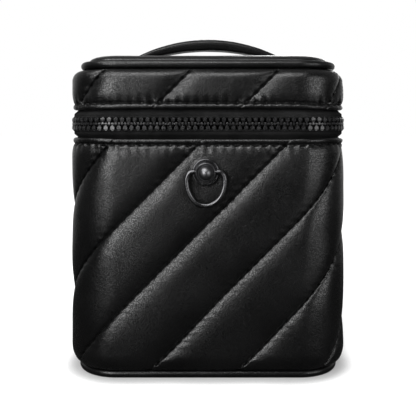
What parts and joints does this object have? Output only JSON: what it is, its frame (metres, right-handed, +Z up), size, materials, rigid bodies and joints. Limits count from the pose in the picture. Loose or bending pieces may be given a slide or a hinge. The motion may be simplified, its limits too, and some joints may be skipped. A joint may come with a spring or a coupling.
{
  "type": "jewellery case",
  "caption": "Small upright jewellery case in diagonally quilted leather, with a zip round the hinged lid, a padded top handle, a stud with a drop ring and a lift-out tray.",
  "frame": {"origin": "middle of the flat underside, on the surface the case stands on", "axes": "+Z up, -Y out of the front (the side with the stud), +X to the right seen from the front"},
  "size_m": [0.1232, 0.1004, 0.15],
  "materials": {
    "black_leather": "smooth fine-grained satin, quilted with stitched seams",
    "leather_trim": "smooth satin piping, hinge and handle leather",
    "base_leather": "matt leatherette",
    "greyboard": "plain stiff board",
    "lining_suede": "charcoal suede-like cloth",
    "zip_tape": "woven tape",
    "zip_resin": "moulded teeth, semi-gloss",
    "black_metal": "black nickel, polished",
    "plain_steel": "plain"
  },
  "bodies": {
    "tub": {"base_cover": "base_leather", "base_board": "greyboard", "base_piping": "leather_trim", "tub_wall": "black_leather", "tub_board": "greyboard", "tub_lining": "lining_suede", "floor_pad": "lining_suede", "tray_ledge": "lining_suede", "zip_tape_lower": "zip_tape", "zip_teeth_lower": "zip_resin", "zip_tape_ends": "zip_tape", "zip_teeth_ends": "zip_resin", "zip_stops": "black_metal", "hinge_lower": "leather_trim", "stud_disc_plate": "black_metal", "stud_collar": "black_metal", "stud_ball": "black_metal", "stud_screw": "plain_steel", "stud_washer": "plain_steel"},
    "lid": {"lid_wall": "black_leather", "lid_edge_board": "greyboard", "lid_board": "greyboard", "lid_top_panel": "black_leather", "lid_piping": "leather_trim", "lid_lining": "lining_suede", "lid_top_lining": "lining_suede", "zip_tape_upper": "zip_tape", "zip_teeth_upper": "zip_resin", "hinge_upper": "leather_trim", "handle": "leather_trim", "handle_rivets": "plain_steel"},
    "slider": {"zip_slider": "black_metal"},
    "puller": {"zip_puller": "black_metal"},
    "drop_ring": {"drop_ring": "black_metal"},
    "tray": {"tray_shell": "lining_suede", "ring_rolls": "lining_suede"}
  },
  "joints": [
    {"name": "lid_hinge", "type": "hinge", "parent": "tub", "child": "lid", "pos_m": [0, 0.043, 0.1094], "axis": [-1, 0, 0], "range_deg": [0, 100]},
    {"name": "slider_run", "type": "slide", "parent": "tub", "child": "slider", "axis": [1, 0, 0], "range_m": [0, 0.006]},
    {"name": "puller_swing", "type": "hinge", "parent": "slider", "child": "puller", "pos_m": [0.0253, 0.0462, 0.1094], "axis": [1, 0, 0], "range_deg": [0, 60]},
    {"name": "ring_swing", "type": "hinge", "parent": "tub", "child": "drop_ring", "pos_m": [-0.001, -0.04605, 0.0892], "axis": [-1, 0, 0], "range_deg": [-4, 184]},
    {"name": "tray_lift", "type": "slide", "parent": "tub", "child": "tray", "axis": [0, 0, 1], "range_m": [0, 0.025]}
  ]
}
